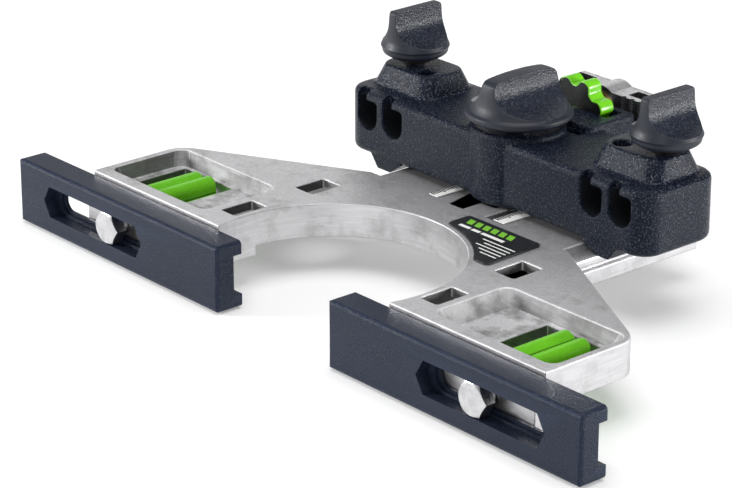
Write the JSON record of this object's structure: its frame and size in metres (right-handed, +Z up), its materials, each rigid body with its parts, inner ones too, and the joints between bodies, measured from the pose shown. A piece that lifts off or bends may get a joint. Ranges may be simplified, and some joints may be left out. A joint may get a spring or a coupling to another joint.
{
  "type": "router edge guide",
  "caption": "Adjustable router edge guide: two sliding fence shoes on a cast bracket, fine-adjustment wheel, and a rear housing that clamps on a pair of guide rods.",
  "frame": {"origin": "middle of the whole part in plan, on the plane of the shoes' underside", "axes": "+X along the fence, -Y out of the fence face towards the work, +Z up out of the shoes' underside"},
  "size_m": [0.253, 0.143, 0.0677],
  "materials": {
    "dark_plastic": "charcoal glass-filled plastic with a spark-eroded texture",
    "knob_plastic": "charcoal plastic, satin rims and textured grips",
    "green_plastic": "bright green, half gloss",
    "cast_aluminium": "die cast and shot blasted, machined walls brighter",
    "zinc": "bright zinc plate",
    "brass": "turned",
    "label_black": "printed film, half gloss",
    "scale_white": "white tape with black graduations"
  },
  "bodies": {
    "housing": {"housing": "dark_plastic", "thread_insert_left": "brass", "thread_insert_right": "brass", "lock_washer": "zinc"},
    "lock_knob": {"lock_knob": "knob_plastic", "lock_knob_nut": "brass"},
    "lock_bolt": {"lock_bolt": "zinc", "clamp_plate": "zinc"},
    "left_clamp_screw": {"clamp_stud_left": "zinc"},
    "left_wing_knob": {"wing_knob_left": "knob_plastic"},
    "right_clamp_screw": {"clamp_stud_right": "zinc"},
    "right_wing_knob": {"wing_knob_right": "knob_plastic"},
    "thumbwheel": {"thumbwheel": "green_plastic", "spindle": "zinc"},
    "fence": {"casting": "cast_aluminium", "rear_bracket": "cast_aluminium", "bracket_screw_left": "zinc", "bracket_screw_right": "zinc", "spindle_nut": "brass", "label_plate": "label_black", "scale_left": "scale_white", "scale_right": "scale_white", "nut_washer_left": "zinc", "nut_washer_right": "zinc"},
    "left_shoe": {"shoe_left": "dark_plastic"},
    "left_nut": {"shoe_nut_left": "green_plastic", "nut_bush_left": "zinc"},
    "left_bolt": {"shoe_bolt_left": "zinc"},
    "right_shoe": {"shoe_right": "dark_plastic"},
    "right_nut": {"shoe_nut_right": "green_plastic", "nut_bush_right": "zinc"},
    "right_bolt": {"shoe_bolt_right": "zinc"}
  },
  "joints": [
    {"name": "lock_knob_turn", "type": "hinge", "parent": "housing", "child": "lock_knob", "pos_m": [0.0018, 0.0239, 0.05], "axis": [0, 0, 1], "range_deg": [-1, 541]},
    {"name": "lock_bolt_drop", "type": "slide", "parent": "housing", "child": "lock_bolt", "axis": [0, 0, 1], "range_m": [-0.00187, 0]},
    {"name": "left_screw_travel", "type": "slide", "parent": "housing", "child": "left_clamp_screw", "axis": [0, 0, 1], "range_m": [-0.00142, 0.00252]},
    {"name": "left_wing_turn", "type": "hinge", "parent": "left_clamp_screw", "child": "left_wing_knob", "pos_m": [-0.0529, 0.0306, 0.055], "axis": [0, 0, 1], "range_deg": [-504, 900]},
    {"name": "right_screw_travel", "type": "slide", "parent": "housing", "child": "right_clamp_screw", "axis": [0, 0, 1], "range_m": [-0.00142, 0.00252]},
    {"name": "right_wing_turn", "type": "hinge", "parent": "right_clamp_screw", "child": "right_wing_knob", "pos_m": [0.0565, 0.0306, 0.055], "axis": [0, 0, 1], "range_deg": [-504, 900]},
    {"name": "thumbwheel_turn", "type": "hinge", "parent": "housing", "child": "thumbwheel", "pos_m": [0.0018, 0.05, 0.0424], "axis": [0, 1, 0], "range_deg": [-793, 2881]},
    {"name": "fence_travel", "type": "slide", "parent": "housing", "child": "fence", "axis": [0, 1, 0], "range_m": [-0.0022, 0.008]},
    {"name": "left_shoe_slide", "type": "slide", "parent": "fence", "child": "left_shoe", "axis": [-1, 0, 0], "range_m": [-0.0245, 0.0108]},
    {"name": "right_shoe_slide", "type": "slide", "parent": "fence", "child": "right_shoe", "axis": [1, 0, 0], "range_m": [-0.0209, 0.0144]},
    {"name": "left_nut_turn", "type": "hinge", "parent": "fence", "child": "left_nut", "pos_m": [-0.0809, -0.045, 0.0108], "axis": [0, 1, 0], "range_deg": [0, 300]},
    {"name": "right_nut_turn", "type": "hinge", "parent": "fence", "child": "right_nut", "pos_m": [0.0845, -0.045, 0.0108], "axis": [0, 1, 0], "range_deg": [0, 300]},
    {"name": "left_bolt_ease", "type": "slide", "parent": "fence", "child": "left_bolt", "axis": [0, -1, 0], "range_m": [0, 0.00084]},
    {"name": "right_bolt_ease", "type": "slide", "parent": "fence", "child": "right_bolt", "axis": [0, -1, 0], "range_m": [0, 0.00084]}
  ],
  "couplings": [
    {"joint": "lock_knob_turn", "follows": "lock_bolt_drop", "rad_per_m": -5026.5},
    {"joint": "left_screw_travel", "follows": "left_wing_turn", "m_per_rad": 0.00015915},
    {"joint": "right_screw_travel", "follows": "right_wing_turn", "m_per_rad": 0.00015915},
    {"joint": "thumbwheel_turn", "follows": "fence_travel", "rad_per_m": 6283.2},
    {"joint": "left_bolt_ease", "follows": "left_nut_turn", "m_per_rad": 0.00015915},
    {"joint": "right_bolt_ease", "follows": "right_nut_turn", "m_per_rad": 0.00015915}
  ]
}
